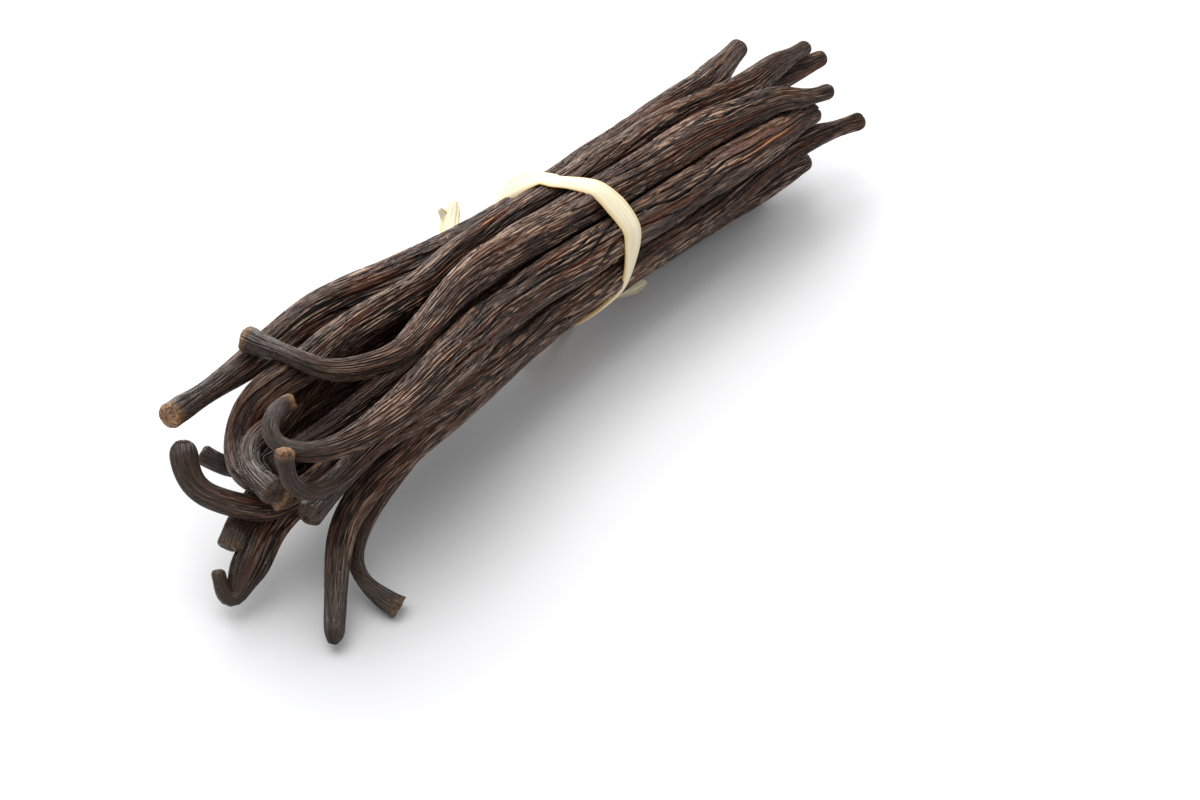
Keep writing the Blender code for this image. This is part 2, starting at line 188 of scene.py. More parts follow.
def settle(curves, radii):
    """Push the pods apart where they would pass through each other.

    The tie draws them together, and the table holds them up.
    """
    count, points, _ = curves.shape
    home = curves.copy()
    pod_of = np.repeat(np.arange(count), points)
    every = np.arange(count)[None, :]
    for _ in range(SETTLING_ROUNDS):
        flat = curves.reshape(-1, 3)
        square = (flat ** 2).sum(1)
        apart = square[:, None] + square[None, :] - 2 * flat @ flat.T
        nearest = apart.reshape(-1, count, points).argmin(2)
        there = curves[every, nearest]
        away = flat[:, None, :] - there
        distance = np.linalg.norm(away, axis=2)
        heading = directions(curves)
        parallel = np.abs((heading.reshape(-1, 1, 3) * heading[every, nearest]).sum(2))
        wanted = (radii.reshape(-1, 1) + radii[every, nearest]) * (1.0 - 0.12 * parallel ** 4)
        short = np.maximum(wanted - distance, 0)
        short[np.arange(count * points), pod_of] = 0
        push = (0.5 * short / np.maximum(distance, 1e-6))[..., None] * away
        push = push.sum(1).reshape(count, points, 3)

        middle = np.stack([np.zeros_like(radii), TIE_HEIGHT - TIP_FALL * curves[..., 0]], axis=-1)
        outward = curves[..., 1:] - middle
        reach = np.linalg.norm(outward, axis=-1)
        excess = np.maximum(reach + radii - TIE_RADIUS, 0) * np.exp(-(curves[..., 0] / TIE_REACH) ** 2)
        push[..., 1:] -= (0.6 * excess / np.maximum(reach, 1e-6))[..., None] * outward
        push += 0.04 * (home - curves)
        for _ in range(3):
            push[:, 1:-1] = 0.25 * push[:, :-2] + 0.5 * push[:, 1:-1] + 0.25 * push[:, 2:]
        curves = curves + 0.8 * push
        curves[..., 2] = np.maximum(curves[..., 2], 0.93 * radii)
        curves[:, 1:-1] += 0.05 * (curves[:, :-2] + curves[:, 2:] - 2 * curves[:, 1:-1])
    return curves


rough = [smooth_curve(route, ROUTE_POINTS) for route, _ in PODS.values()]
lengths = [run_length(curve) for curve in rough]
rough_radii = [girth(name, np.linspace(0, length, ROUTE_POINTS), length)
               for name, length in zip(PODS, lengths)]
settled = settle(np.array(rough), np.array(rough_radii))
curves = np.array([smooth_curve(curve, CURVE_POINTS, closed_in=8) for curve in settled])
lengths = [run_length(curve) for curve in curves]
radii = np.array([girth(name, np.linspace(0, length, CURVE_POINTS), length)
                  for name, length in zip(PODS, lengths)])

# Each pod's box in the frame says where the frame's origin is.
shifts = []
for name, curve, radius in zip(PODS, curves, radii):
    low, high = (np.array(corner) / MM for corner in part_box(name))
    own_low, own_high = (curve - radius[:, None]).min(0), (curve + radius[:, None]).max(0)
    shifts.append((low + high - own_low - own_high) / 2)
SHIFT = np.median(shifts, axis=0)

# --------------------------------------------------------------------------
# The pods. A cured pod is a long leathery tube, shrunk into lengthwise folds
# and wrinkles, with a smooth stem that ends in a cut face or a knob. Where it
# lies on its neighbours it is pressed flat, and its skin is soft and oily.
# --------------------------------------------------------------------------
RINGS = 280
AROUND = 192
PRESSED_RINGS = 110
PRESSED_AROUND = 40
CAP_RINGS = 10
AIR_GAP = 0.06             # between two pods' skins where they touch

# Some stems stay slim or fill out early: shares of the girth, at mm from the end.
STEM_SHAPES = {
    "pod_crossing": [(0, 0.95), (3, 1.05), (6, 0.95), (12, 1)],
    "pod_top_hook": [(0, 0.85), (8, 0.90), (18, 0.70), (30, 0.82), (46, 1)],
    "pod_side_hook": [(0, 1.05), (5, 0.9), (18, 0.8), (30, 1)],
    "pod_inner_hook": [(0, 1.15), (2, 1.0), (8, 1.05), (20, 1)],
    "pod_flared_drop": [(0, 1.15), (1.5, 1.0), (5, 0.95), (12, 1)],
    "pod_low_curl": [(0, 0.75), (3, 0.80), (6, 1.20), (10, 1.50), (20, 1.10), (32, 1)],
    "pod_long_drop": [(0, 0.72), (4, 0.80), (10, 0.80), (17, 0.92), (26, 1)],
    "pod_wide_curl": [(0, 1.10), (5, 1.15), (12, 1.05), (20, 1)],
}

# Stem ends: how long the end's rounding is in mm, how flat the face is, how
# much of it is dry tan flesh, and how rough it is.
STEM_ENDS = {
    "pod_straight": (1.6, 2.6, 1.0, 0.25),
    "pod_crossing": (0.8, 5.0, 0.8, 0.55),
    "pod_outer_hook": (0.6, 6.0, 0.7, 0.30),
    "pod_inner_hook": (0.9, 4.0, 0.1, 0.15),
    "pod_short_stem": (1.0, 3.0, 0.1, 0.15),
    "pod_top_hook": (0.7, 5.0, 0.9, 0.35),
    "pod_side_hook": (0.7, 5.0, 0.9, 0.30),
    "pod_long_drop": (2.6, 2.0, 0.0, 0.15),
    "pod_flared_drop": (0.3, 7.0, 0.3, 0.20),
    "pod_blunt": (1.4, 2.6, 0.1, 0.25),
    "pod_wide_curl": (2.8, 2.0, 0.0, 0.15),
    "pod_stub": (0.7, 5.0, 0.2, 0.20),
    "pod_low_curl": (1.0, 2.4, 0.1, 0.15),
    "pod_core": (1.0, 3.0, 0.2, 0.15),
}


def side_vectors(curve):
    """Two unit vectors across the curve at each point, turning as little as they can."""
    heading = directions(curve)
    side = np.cross([0.0, 0.0, 1.0], heading[0])
    sides = [side / np.linalg.norm(side)]
    for ahead in heading[1:]:
        side = sides[-1] - ahead * (sides[-1] @ ahead)
        sides.append(side / np.linalg.norm(side))
    sides = np.array(sides)
    return sides, np.cross(heading, sides)


def stem_share(name, along):
    """How much of its girth the pod has at distances `along` it."""
    marks = STEM_SHAPES.get(name, [(0, 1)])
    return np.interp(along, [at for at, _ in marks], [share for _, share in marks])


def split_end(name, turn, run):
    """How deep the split is between the two lobes of a torn stem end."""
    if name != "pod_long_drop":
        return 0.0
    return 0.55 * np.exp(-(np.sin(turn - 1.0) / 0.35) ** 2) * np.clip(1 - run / 8, 0, 1)


def reach_of(index):
    """How far the pod's skin may stand from its middle, at even steps along and round it.

    It may move out until it is as deep in a neighbour as in its own pod, so two
    pods meet on one shared face.
    """
    curve, radius = curves[index], radii[index]
    places = np.linspace(0, 1, PRESSED_RINGS)
    share = np.linspace(0, 1, CURVE_POINTS)
    middle = np.stack([np.interp(places, share, curve[:, k]) for k in range(3)], axis=1)
    all_sides, all_ups = side_vectors(curve)
    sides = np.stack([np.interp(places, share, all_sides[:, k]) for k in range(3)], axis=1)
    ups = np.stack([np.interp(places, share, all_ups[:, k]) for k in range(3)], axis=1)
    others = np.delete(curves, index, axis=0).reshape(-1, 3)
    other_radii = np.delete(radii, index, axis=0).reshape(-1)
    angles = np.arange(PRESSED_AROUND) * 2 * math.pi / PRESSED_AROUND
    reach = []
    for place, centre, side, up in zip(places, middle, sides, ups):
        full = np.interp(place, share, radius)
        ray = np.cos(angles)[:, None] * side + np.sin(angles)[:, None] * up
        depths = np.linspace(0.1, 1.0, 14) * full
        points = centre + ray[:, None, :] * depths[None, :, None]
        near = np.linalg.norm(others - centre, axis=1) < 9.0
        own = np.abs(share - place) < 0.05
        limit = np.full(PRESSED_AROUND, full)
        if near.any():
            inside_own = ((points[..., None, :] - curve[own]) ** 2).sum(-1) - radius[own] ** 2
            inside_other = ((points[..., None, :] - others[near]) ** 2).sum(-1) - other_radii[near] ** 2
            clear = inside_other.min(-1) - inside_own.min(-1) - 2 * AIR_GAP * full
            for k in np.nonzero((clear < 0).any(1))[0]:
                first = int((clear[k] < 0).argmax())
                limit[k] = depths[0]
                if first > 0:
                    before, after = clear[k, first - 1], clear[k, first]
                    limit[k] = np.interp(0.0, [-before, -after], depths[first - 1:first + 1])
        reach.append(limit)
    return np.array(reach)


def skin_noise(seed, around, along, turn, run, length):
    """Smooth noise from -1 to 1 on a pod's skin, in cells `around` to a turn and `along` mm long."""
    dice = np.random.default_rng(seed)
    rows = int(length / along) + 4
    total = np.zeros(np.broadcast(turn, run).shape)
    for offset in (0.0, 0.5):
        cells = dice.uniform(-1, 1, (rows, around))
        u = turn / (2 * math.pi) * around + offset
        v = run / along + offset
        i, j = np.floor(u).astype(int), np.floor(v).astype(int)
        fu, fv = u - i, v - j
        fu, fv = fu * fu * (3 - 2 * fu), fv * fv * (3 - 2 * fv)
        i, j = i % around, np.clip(j, 0, rows - 2)
        i_next = (i + 1) % around
        low = cells[j, i] * (1 - fu) + cells[j, i_next] * fu
        high = cells[j + 1, i] * (1 - fu) + cells[j + 1, i_next] * fu
        total += low * (1 - fv) + high * fv
    return total * 0.75


def folds(seed, around, along, width, turn, run, length):
    """1 down in the folds where smooth noise passes zero, and 0 up on the lobes between them."""
    noise = np.abs(skin_noise(seed, around, along, turn, run, length))
    return 0.6 * np.exp(-noise / width) + 0.4 * np.clip(1 - noise * 1.6, 0, 1)


def furrows(seed, count, wide, turn, run, length):
    """1 along `count` lines that run down the pod, swaying and fading, and 0 on the ridges between.

    A line takes up about `wide` of the way from one ridge to the next.
    """
    sway = 0.95 * skin_noise(seed, max(count // 3, 3), 20, turn, run, length)
    sway = sway + 0.30 * skin_noise(seed + 1, count // 2, 7, turn, run, length)
    apart = np.abs((count * turn / (2 * math.pi) + sway) % 1.0 - 0.5) * 2
    strength = np.clip(0.62 + 0.95 * skin_noise(seed + 2, count // 2, 15, turn, run, length), 0.05, 1)
    line = np.clip((apart - 1 + 1.4 * wide) / (0.8 * wide), 0, 1)
    return strength * line * line * (3 - 2 * line)


def grid_surface(name, points, values, wrapped):
    """A mesh object through a grid of points, closed round its second direction.

    `wrapped` closes it end to end too. `values` are kept on its points by name.
    """
    rows, around, _ = points.shape
    steps = rows if wrapped else rows - 1
    bm = bmesh.new()
    bmesh.ops.create_grid(bm, x_segments=steps, y_segments=around, size=0.5)
    mesh = bpy.data.meshes.new(name)
    bm.to_mesh(mesh)
    place = np.empty(len(mesh.vertices) * 3)
    mesh.vertices.foreach_get("co", place)
    place = place.reshape(-1, 3)
    row = np.rint((place[:, 0] + 0.5) * steps).astype(int) % rows
    column = np.rint((place[:, 1] + 0.5) * around).astype(int) % around
    mesh.vertices.foreach_set("co", (points[row, column] * MM).ravel())
    for label, value in values.items():
        if value.ndim == 3:
            layer = mesh.attributes.new(label, "FLOAT_VECTOR", "POINT")
            layer.data.foreach_set("vector", value[row, column].ravel())
        else:
            layer = mesh.attributes.new(label, "FLOAT", "POINT")
            layer.data.foreach_set("value", value[row, column])
    bm.clear()
    bm.from_mesh(mesh)
    bmesh.ops.remove_doubles(bm, verts=bm.verts, dist=1e-7)
    bmesh.ops.recalc_face_normals(bm, faces=bm.faces)
    for face in bm.faces:
        face.smooth = True
    bm.to_mesh(mesh)
    bm.free()
    obj = bpy.data.objects.new(name, mesh)
    bpy.context.scene.collection.objects.link(obj)
    return obj


def pod_surface(index, name):
    """Rings of points round one pod, with its folds, wrinkles and ends, and what its skin shows."""
    curve, length = curves[index], lengths[index]
    radius = radii[index] * stem_share(name, np.linspace(0, length, CURVE_POINTS))
    cap_long, flatness, tan, roughness = STEM_ENDS[name]
    tip_long = 1.6
    seed = 1000 + 100 * index

    # Along the pod: close rings over each end, then even ones.
    rise = np.sin(np.linspace(0, math.pi / 2, CAP_RINGS))
    body = np.linspace(cap_long, length - tip_long, RINGS - 2 * CAP_RINGS + 2)[1:-1]
    stem_at = cap_long * (1 - (1 - rise ** flatness) ** (1 / flatness))
    tip_at = length - tip_long * (1 - (1 - rise ** 2.4) ** (1 / 2.4))
    run = np.concatenate([stem_at, body, tip_at[::-1]])
    swell = np.concatenate([rise, np.ones(len(body)), rise[::-1]])

    share = run / length
    even = np.linspace(0, 1, CURVE_POINTS)
    sides, ups = side_vectors(curve)
    middle = np.stack([np.interp(share, even, curve[:, k]) for k in range(3)], axis=1)
    side = np.stack([np.interp(share, even, sides[:, k]) for k in range(3)], axis=1)
    up = np.stack([np.interp(share, even, ups[:, k]) for k in range(3)], axis=1)
    ahead = np.stack([np.interp(share, even, directions(curve)[:, k]) for k in range(3)], axis=1)

    reach = reach_of(index) * stem_share(name, np.linspace(0, length, PRESSED_RINGS))[:, None]
    for _ in range(2):
        reach[1:-1] = 0.25 * reach[:-2] + 0.5 * reach[1:-1] + 0.25 * reach[2:]
    coarse = np.linspace(0, 1, PRESSED_RINGS)
    reach = np.stack([np.interp(share, coarse, reach[:, k]) for k in range(PRESSED_AROUND)], axis=1)
    turn = np.arange(AROUND) * 2 * math.pi / AROUND
    marks = np.arange(PRESSED_AROUND + 1) * 2 * math.pi / PRESSED_AROUND
    reach = np.stack([np.interp(turn, marks, np.append(row, row[0])) for row in reach])
    for _ in range(3):
        reach = 0.25 * np.roll(reach, 1, axis=1) + 0.5 * reach + 0.25 * np.roll(reach, -1, axis=1)

    # Folds and wrinkles wander and twist a little as they run along the pod.
    s, t = run[:, None], turn[None, :]
    twist = (-1) ** index * 0.006 * s
    wander = 0.20 * skin_noise(seed, 3, 34, t, s, length) + 0.04 * skin_noise(seed + 1, 7, 9, t, s, length)
    w = (t + twist + wander) % (2 * math.pi)
    fold = folds(seed + 2, 4, 55, 0.12, w, s, length)
    broad = furrows(seed + 10, 11, 0.17, w, s, length)
    ridge = furrows(seed + 20, 30, 0.32, w, s, length)
    fine = furrows(seed + 30, 50, 0.40, w, s, length)
    size = np.interp(run, np.linspace(0, length, CURVE_POINTS), radius)[:, None]
    full = np.clip((size - 1.2) / 2.2, 0.10, 1.0) * (1 - 0.55 * np.clip(1.3 - s / 16, 0, 1))
    depth = full * (0.80 * fold + 0.60 * broad + 0.42 * ridge) + (0.30 + 0.70 * full) * 0.24 * fine
    lump = 0.16 * full * (1 + skin_noise(seed + 6, 5, 7, t, s, length))
    knobbly = 0.9 * roughness * skin_noise(seed + 8, 6, 2.2, t, s, length) * np.clip(1.3 - s / 4, 0, 1)
    split = split_end(name, t, s)
    stand = np.maximum(reach - depth - lump + knobbly, 0.42 * reach) * swell[:, None] * (1 - split)

    ray = np.cos(turn)[None, :, None] * side[:, None, :] + np.sin(turn)[None, :, None] * up[:, None, :]
    points = middle[:, None, :] + ray * stand[..., None]

    # A cut face is rough, and dips in its middle.
    on_face = np.clip(1 - run / max(cap_long, 0.5), 0, 1)[:, None] * np.ones_like(stand)
    grain = skin_noise(seed + 7, 7, 0.5, t, s * 0 + (1 - swell[:, None]) * 2.2, 4.0)
    dip = on_face * (roughness * grain + 0.25 * (1 - swell[:, None]) ** 2)
    points += ahead[:, None, :] * dip[..., None]
    points += SHIFT
    points[..., 2] = np.maximum(points[..., 2], 0.02)

    # Crest falls in the folds and furrows, and the skin colour goes darker with it: painted shade in the creases.
    crest = np.clip(1.15 - 0.40 * fold - 0.95 * broad - 1.05 * ridge - 0.60 * fine, 0, 1)
    # Painted shade where a neighbour presses on the skin, to darken the gaps between pods.
    pressed_shade = np.clip((1 - reach / size) * 3.2, 0, 1)
    crest = crest * (1 - 0.92 * pressed_shade)
    stem_skin = np.clip(1.3 - run / 16, 0, 1)[:, None] * np.ones_like(stand)
    face_tan = tan * np.clip(1.3 - run / max(cap_long * 1.4, 1.2), 0, 1)[:, None] * np.ones_like(stand)
    lie = np.stack([s + 300 * index + 0 * t, 3.5 * np.cos(w), 3.5 * np.sin(w)], axis=-1)
    values = {"crest": crest, "stem": stem_skin, "cut_face": face_tan, "lie": lie}
    return points, values


def pod_skin():
    """Oily dark brown skin with tan fibres. Its near-black creases are painted shade, and its grey-brown ridges
    are partly a dry tone and partly a painted highlight.
    """
    material = bpy.data.materials.new("cured_pod_skin")
    material.use_nodes = True
    nodes, links = material.node_tree.nodes, material.node_tree.links
    shader = nodes["Principled BSDF"]

    def read(name):
        node = nodes.new("ShaderNodeAttribute")
        node.attribute_name = name
        return node

    def math_node(kind, first, second=None, clamp=False):
        node = nodes.new("ShaderNodeMath")
        node.operation = kind
        node.use_clamp = clamp
        for socket, value in zip(node.inputs, (first, second)):
            if value is None:
                continue
            if isinstance(value, (int, float)):
                socket.default_value = value
            else:
                links.new(value, socket)
        return node.outputs[0]

    def mixed(share, under, over):
        node = nodes.new("ShaderNodeMix")
        node.data_type = "RGBA"
        links.new(share, node.inputs["Factor"])
        for label, value in (("A", under), ("B", over)):
            socket = [i for i in node.inputs if i.name == label and i.type == "RGBA"][0]
            if isinstance(value, tuple):
                socket.default_value = value
            else:
                links.new(value, socket)
        return [o for o in node.outputs if o.type == "RGBA"][0]

    lie = read("lie")

    def grain(scale, detail, roughness=0.5):
        """Noise drawn out along the pod; scale is cells to a mm along and across."""
        mapping = nodes.new("ShaderNodeMapping")
        mapping.inputs["Scale"].default_value = scale
        links.new(lie.outputs["Vector"], mapping.inputs["Vector"])
        noise = nodes.new("ShaderNodeTexNoise")
        noise.inputs["Scale"].default_value = 1.0
        noise.inputs["Detail"].default_value = detail
        noise.inputs["Roughness"].default_value = roughness
        links.new(mapping.outputs["Vector"], noise.inputs["Vector"])
        return noise.outputs["Fac"]

    def between(value, low, high):
        node = nodes.new("ShaderNodeMapRange")
        node.interpolation_type = "SMOOTHSTEP"
        node.inputs["From Min"].default_value = low
        node.inputs["From Max"].default_value = high
        links.new(value, node.inputs["Value"])
        return node.outputs["Result"]

    crest, stem, face = read("crest").outputs["Fac"], read("stem").outputs["Fac"], read("cut_face").outputs["Fac"]

    # Fine wrinkles: 1 on a ridge, 0 in a crease.
    wrinkle = grain((0.10, 1.35, 1.35), 2.0, 0.55)
    wrinkle = math_node("MULTIPLY", math_node("ABSOLUTE", math_node("SUBTRACT", wrinkle, 0.5)), 14.0, True)
    hair = grain((0.22, 2.5, 2.5), 1.5, 0.5)
    hair = math_node("MULTIPLY", math_node("ABSOLUTE", math_node("SUBTRACT", hair, 0.5)), 11.0, True)

    rise = math_node("MULTIPLY", crest, math_node("ADD", math_node("MULTIPLY", wrinkle, 0.75), 0.25))
    rise = math_node("MULTIPLY", rise, math_node("ADD", math_node("MULTIPLY", hair, 0.55), 0.45))
    smooth = math_node("MULTIPLY", stem, 0.75)
    # Painted shade: creases, fine cracks and the gaps between pods go near black.
    colour = mixed(between(rise, 0.08, 0.46), PAINTED_CREASE_SHADE, BODY_BROWN)
    colour = mixed(between(grain((0.04, 0.6, 0.6), 2.0), 0.50, 0.66), colour, RED_BROWN)
    # Partly a dry grey tone and partly a painted highlight: the highest ridges turn pale grey-brown in patches.
    dry_ridge_and_highlight = math_node("MULTIPLY", between(rise, 0.46, 0.92), between(grain((0.05, 0.35, 0.35), 3.0), 0.30, 0.66))
    dry_ridge_and_highlight = math_node("MULTIPLY", dry_ridge_and_highlight, math_node("SUBTRACT", 1.0, smooth))
    colour = mixed(dry_ridge_and_highlight, colour, RIDGE_TONE_AND_HIGHLIGHT)
    fibre = math_node("MULTIPLY", between(grain((0.045, 2.4, 2.4), 1.0), 0.70, 0.76),
                      between(grain((0.02, 0.3, 0.3), 1.0), 0.5, 0.6))
    colour = mixed(fibre, colour, FIBRE_TAN)
    colour = mixed(math_node("MULTIPLY", stem, 0.80), colour, STEM_DARK)
    face_mask = math_node("MULTIPLY", face, between(grain((2.0, 1.2, 1.2), 4.0), 0.30, 0.62))
    colour = mixed(face_mask, colour, CUT_TAN)

    # Tiny sugar-like crystals catch the light here and there.
    specks = nodes.new("ShaderNodeTexVoronoi")
    specks.inputs["Scale"].default_value = 1.1
    links.new(lie.outputs["Vector"], specks.inputs["Vector"])
    few = nodes.new("ShaderNodeSeparateColor")
    links.new(specks.outputs["Color"], few.inputs["Color"])
    speck = math_node("MULTIPLY", math_node("LESS_THAN", specks.outputs["Distance"], 0.10),
                      math_node("GREATER_THAN", few.outputs["Red"], 0.90))
    colour = mixed(speck, colour, SPECK_PALE)
    links.new(colour, shader.inputs["Base Color"])

    gloss = math_node("ADD", math_node("MULTIPLY", grain((0.12, 0.8, 0.8), 3.0), 0.30), 0.30)
    gloss = math_node("SUBTRACT", gloss, math_node("MULTIPLY", stem, 0.26))
    gloss = math_node("ADD", gloss, math_node("MULTIPLY", face, 0.35), True)
    links.new(gloss, shader.inputs["Roughness"])
    shader.inputs["Specular IOR Level"].default_value = 0.40
    shader.inputs["Metallic"].default_value = 0.0

    height = math_node("ADD", math_node("MULTIPLY", wrinkle, 0.65), math_node("MULTIPLY", hair, 0.35))
    height = math_node("MULTIPLY", height, math_node("SUBTRACT", 1.0, smooth))
    bump = nodes.new("ShaderNodeBump")
    bump.inputs["Strength"].default_value = 1.0
    bump.inputs["Distance"].default_value = 0.32 * MM
    links.new(height, bump.inputs["Height"])
    links.new(bump.outputs["Normal"], shader.inputs["Normal"])
    return material


# The crease colour is painted shade, for the creases and the gaps between pods.
PAINTED_CREASE_SHADE = (0.0035, 0.0016, 0.0009, 1.0)
BODY_BROWN = (0.048, 0.0190, 0.0085, 1.0)
RED_BROWN = (0.090, 0.026, 0.0085, 1.0)
# The ridge grey is partly a dry tone and partly a painted highlight.
RIDGE_TONE_AND_HIGHLIGHT = (0.310, 0.200, 0.132, 1.0)
FIBRE_TAN = (0.52, 0.21, 0.070, 1.0)
STEM_DARK = (0.026, 0.015, 0.010, 1.0)
CUT_TAN = (0.36, 0.19, 0.085, 1.0)
SPECK_PALE = (0.55, 0.50, 0.44, 1.0)

skin_material = pod_skin()
for index, name in enumerate(PODS):
    points, values = pod_surface(index, name)
    pod = grid_surface(name + "_skin", points, values, wrapped=False)
    pod.data.materials.append(skin_material)
    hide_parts(name)
    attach(pod, "root")

# --------------------------------------------------------------------------
# The raffia tie. A strip torn from a palm leaf, pale and papery, laid flat over
# the bundle and folded along its front edge. It gathers into a strand down each
# side, and an overhand knot underneath leaves two frayed tails.
# --------------------------------------------------------------------------
LOOP_MIDDLE_X = -2.8
LOOP_LEAN_UP = 0.48        # mm along the bundle for each mm up
LOOP_LEAN_LEFT = -0.57     # and for each mm to the left,
LOOP_LEAN_ENDS = 1.8       # as far as this
LOOP_DISC = 11.0
LOOP_CLEARANCE = -0.50
LOOP_RINGS = 420
STRIP_AROUND = 56
KNOT_HEIGHT = 3.2
TAILS = [
    [(0, 0, 0), (2.5, 9, -1.6), (7, 20, -2.1), (12.5, 30, -1.6), (18, 36, 0.2), (17.5, 37.2, 2.4)],
    [(0, 0, 0), (7, 0.5, -1.9), (16, 1.5, -2.4), (24, -1.5, -2.2), (28.5, -3.7, -1.7)],
    [(7, 20, -2.1), (13, 30, -1.5), (18.5, 35, 0.4), (21.5, 36.5, 2.2)],
]
RAFFIA_PALE = (0.77, 0.70, 0.51, 1.0)
RAFFIA_EDGE = (0.60, 0.39, 0.14, 1.0)
RAFFIA_SHADE = (0.68, 0.58, 0.37, 1.0)


def loop_route():
    """The middle line of the loop, stretched round the pods it passes."""
    middle = np.array([0.0, TIE_HEIGHT])
    lean = np.array([LOOP_LEAN_LEFT, LOOP_LEAN_UP])
    across = curves[..., 1:] - middle
    beside = np.abs(curves[..., 0] - LOOP_MIDDLE_X - across @ lean) < 3.5
    turn = np.linspace(0, 2 * math.pi, 181)[:-1]
    normal = np.stack([np.sin(turn), np.cos(turn)], axis=1)
    reach = (across[beside] @ normal.T + radii[beside][:, None]).max(0)
    reach = np.maximum(reach, LOOP_DISC) + LOOP_CLEARANCE
    for _ in range(20):
        reach = 0.25 * np.roll(reach, 1) + 0.5 * reach + 0.25 * np.roll(reach, -1)
    slope = (np.roll(reach, -1) - np.roll(reach, 1)) / (2 * turn[1])
    tangent = np.stack([np.cos(turn), -np.sin(turn)], axis=1)
    flat = reach[:, None] * normal + slope[:, None] * tangent
    slant = np.column_stack([np.minimum(flat[:, 0], LOOP_LEAN_ENDS), flat[:, 1]]) @ lean
    route = np.column_stack([LOOP_MIDDLE_X + slant, flat + middle])
    return even_spacing(np.concatenate([route, route[:1]]), LOOP_RINGS + 1)[:-1]


def strip_surface(route, widths, thicknesses, outward, seed, closed):
    """Rings round a papery strip: a slim lens across, with fibres along both its faces."""
    if closed:
        ahead = np.roll(route, -1, axis=0) - np.roll(route, 1, axis=0)
    else:
        ahead = np.gradient(route, axis=0)
    ahead /= np.linalg.norm(ahead, axis=1, keepdims=True)
    across = np.cross(ahead, outward)
    across /= np.linalg.norm(across, axis=1, keepdims=True)
    face = np.cross(across, ahead)
    run = np.linspace(0, run_length(route), len(route))[:, None]
    if closed:
        run = run * 0 + np.abs(np.linspace(-1, 1, len(route)))[:, None] * run_length(route) / 2
    turn = (np.arange(STRIP_AROUND) * 2 * math.pi / STRIP_AROUND)[None, :]
    x, y = np.cos(turn), np.sin(turn)
    y = np.sign(y) * np.abs(y) ** 0.5
    widths, thicknesses = widths[:, None], thicknesses[:, None]
    fibres = skin_noise(seed, 34, 14, turn, run, run_length(route))
    waves = skin_noise(seed + 1, 6, 9, turn, run, run_length(route))
    crown = 0.10 * widths * (1 - x ** 2)
    fold = 0.22 * np.exp(-((x - 0.62) / 0.08) ** 2)
    lift = (0.5 + 0.12 * fibres) * thicknesses * y + crown + 0.10 * waves - fold
    sideways = 0.5 * widths * x * (1 + 0.04 * waves)
    points = route[:, None, :] + sideways[..., None] * across[:, None, :] + lift[..., None] * face[:, None, :]
    lie = np.stack([run + 0 * turn, x * 2.0 * np.ones_like(run), y * 0.4 * np.ones_like(run)], axis=-1)
    edge = np.abs(x) ** 6 * np.ones_like(run)
    return points + SHIFT, {"lie": lie, "edge": edge}


route = loop_route()
outward = route - [LOOP_MIDDLE_X, 0.0, TIE_HEIGHT]
outward[:, 0] = 0.0
from_top = np.degrees(np.arccos(outward[:, 2] / np.linalg.norm(outward, axis=1)))
widths = np.interp(from_top, [0, 40, 75, 110], [3.6, 4.8, 4.2, 1.4])
thicknesses = np.interp(from_top, [75, 110], [0.28, 0.8])
# Over the left shoulder the strip turns to lie along the pod.
shoulder = np.clip((route[:, 1] - 4) / 6, 0, 1) * np.clip((110 - from_top) / 20, 0, 1)
outward[:, 0] -= 0.8 * shoulder * np.linalg.norm(outward, axis=1)
points, values = strip_surface(route, widths, thicknesses, outward, 5000, closed=True)
raffia = [grid_surface("raffia_loop", points, values, wrapped=True)]

lowest = route[route[:, 2].argmin()]
knot_at = np.array([lowest[0], lowest[1], KNOT_HEIGHT])
for number, tail in enumerate(TAILS):
    line = smooth_curve(np.array(tail, float) + knot_at, 90)
    taper = np.interp(np.linspace(0, 1, 90), [0, 0.3, 0.9, 1], [0.5, 1, 1, 0.25])
    upward = np.linspace([0.0, 0.0, 1.0], [-0.5, -0.4, 0.7], 90)
    points, values = strip_surface(line, 3.0 * taper, np.full(90, 0.35), upward, 5100 + number, closed=False)
    points[0] = points[0].mean(0)
    points[-1] = points[-1].mean(0)
    raffia.append(grid_surface(f"raffia_tail_{number}", points, values, wrapped=False))

knot_turn = np.linspace(0, 2 * math.pi, 161)[:-1]
knot_line = np.stack([0.85 * (np.sin(knot_turn) + 2 * np.sin(2 * knot_turn)),
                      0.70 * (np.cos(knot_turn) - 2 * np.cos(2 * knot_turn)),
                      -1.0 * np.sin(3 * knot_turn)], axis=1) + knot_at
knot_out = knot_line - knot_at + [0, 0, 0.5]
points, values = strip_surface(knot_line, np.full(160, 1.5), np.full(160, 0.9), knot_out, 5200, closed=True)
raffia.append(grid_surface("raffia_knot", points, values, wrapped=True))


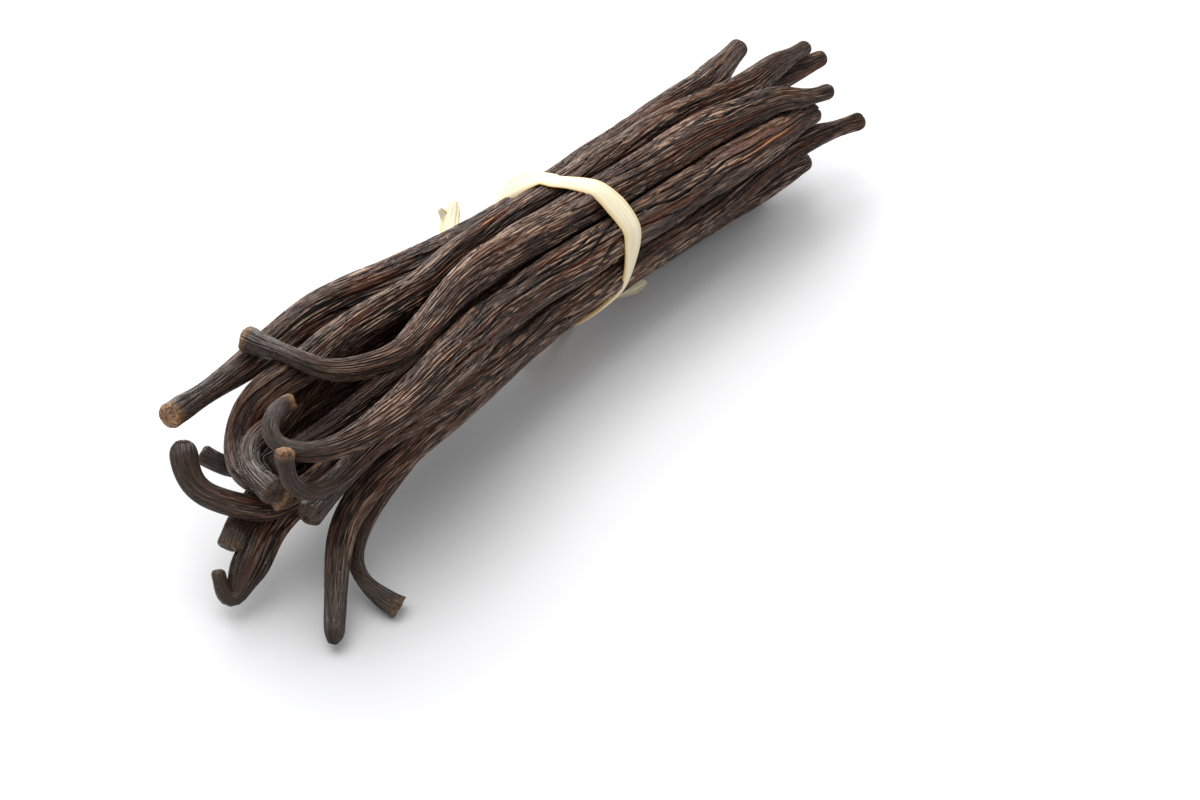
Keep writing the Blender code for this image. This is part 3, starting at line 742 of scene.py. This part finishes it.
def raffia_leaf():
    """Pale papery leaf with fine fibres along it, golden at its torn edges."""
    material = bpy.data.materials.new("dried_raffia")
    material.use_nodes = True
    nodes, links = material.node_tree.nodes, material.node_tree.links
    shader = nodes["Principled BSDF"]
    lie = nodes.new("ShaderNodeAttribute")
    lie.attribute_name = "lie"
    edge = nodes.new("ShaderNodeAttribute")
    edge.attribute_name = "edge"
    mapping = nodes.new("ShaderNodeMapping")
    mapping.inputs["Scale"].default_value = (0.12, 3.5, 3.5)
    links.new(lie.outputs["Vector"], mapping.inputs["Vector"])
    fibres = nodes.new("ShaderNodeTexNoise")
    fibres.inputs["Scale"].default_value = 1.0
    fibres.inputs["Detail"].default_value = 3.0
    links.new(mapping.outputs["Vector"], fibres.inputs["Vector"])
    tone = nodes.new("ShaderNodeValToRGB")
    tone.color_ramp.elements[0].position = 0.30
    tone.color_ramp.elements[0].color = RAFFIA_SHADE
    tone.color_ramp.elements[1].position = 0.55
    tone.color_ramp.elements[1].color = RAFFIA_PALE
    links.new(fibres.outputs["Fac"], tone.inputs["Fac"])
    rim = nodes.new("ShaderNodeMix")
    rim.data_type = "RGBA"
    links.new(edge.outputs["Fac"], rim.inputs[0])
    links.new(tone.outputs["Color"], rim.inputs[6])
    rim.inputs[7].default_value = RAFFIA_EDGE
    links.new(rim.outputs[2], shader.inputs["Base Color"])
    shader.inputs["Roughness"].default_value = 0.62
    bump = nodes.new("ShaderNodeBump")
    bump.inputs["Strength"].default_value = 0.35
    bump.inputs["Distance"].default_value = 0.10 * MM
    links.new(fibres.outputs["Fac"], bump.inputs["Height"])
    links.new(bump.outputs["Normal"], shader.inputs["Normal"])
    return material


raffia_material = raffia_leaf()
for piece in raffia:
    piece.data.materials.append(raffia_material)
    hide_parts("raffia_tie")
    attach(piece, "root")

# --------------------------------------------------------------------------
# The table, the light and the camera: a plain white sheet under a broad soft
# light from behind and above, seen from the bundle's stem end.
# --------------------------------------------------------------------------
bm = bmesh.new()
bmesh.ops.create_grid(bm, x_segments=1, y_segments=1, size=3.0)
floor_mesh = bpy.data.meshes.new("table")
bm.to_mesh(floor_mesh)
bm.free()
floor = bpy.data.objects.new("table", floor_mesh)
bpy.context.scene.collection.objects.link(floor)
paper = bpy.data.materials.new("white_paper")
paper.use_nodes = True
paper.node_tree.nodes["Principled BSDF"].inputs["Base Color"].default_value = (0.62, 0.62, 0.63, 1.0)
paper.node_tree.nodes["Principled BSDF"].inputs["Roughness"].default_value = 0.9
floor.data.materials.append(paper)
floor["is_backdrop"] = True

world = bpy.data.worlds.new("studio")
world.use_nodes = True
world.node_tree.nodes["Background"].inputs["Color"].default_value = (1.0, 1.0, 1.0, 1.0)
world.node_tree.nodes["Background"].inputs["Strength"].default_value = 0.80
bpy.context.scene.world = world
bpy.context.scene.view_settings.view_transform = "Standard"

AZIMUTH, ELEVATION, DISTANCE = math.radians(51), math.radians(40), 497.08
heading = np.array([math.sin(AZIMUTH), math.cos(AZIMUTH), 0.0])
right = np.array([math.cos(AZIMUTH), -math.sin(AZIMUTH), 0.0])
forward = math.cos(ELEVATION) * heading - math.sin(ELEVATION) * np.array([0.0, 0.0, 1.0])
upward = math.cos(ELEVATION) * np.array([0.0, 0.0, 1.0]) + math.sin(ELEVATION) * heading
aim = np.array([0.0, 0.0, TIE_HEIGHT]) + 7.72 * right - 26.32 * upward + SHIFT

camera_data = bpy.data.cameras.new("camera")
camera_data.lens = 85
camera_data.sensor_width = 36
camera_data.clip_start = 0.01
camera = bpy.data.objects.new("camera", camera_data)
camera.location = (aim - DISTANCE * forward) * MM
camera.rotation_euler = (math.pi / 2 - ELEVATION, 0.0, -AZIMUTH)
bpy.context.scene.collection.objects.link(camera)
bpy.context.scene.camera = camera


def soft_light(name, offset, size, power):
    """A square soft light at `offset` mm from the bundle, facing it."""
    lamp = bpy.data.lights.new(name, "AREA")
    lamp.size = size
    lamp.energy = power
    light = bpy.data.objects.new(name, lamp)
    place = offset[0] * right + offset[1] * heading + offset[2] * np.array([0.0, 0.0, 1.0])
    light.location = place * MM
    aim_from = -place / np.linalg.norm(place)
    light.rotation_euler = (math.acos(-aim_from[2]), 0.0, math.atan2(aim_from[1], aim_from[0]) - math.pi / 2)
    bpy.context.scene.collection.objects.link(light)


soft_light("back_light", (-180, 620, 620), 0.7, 8.6)
soft_light("top_light", (-200, 60, 850), 0.7, 4.6)

low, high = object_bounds()
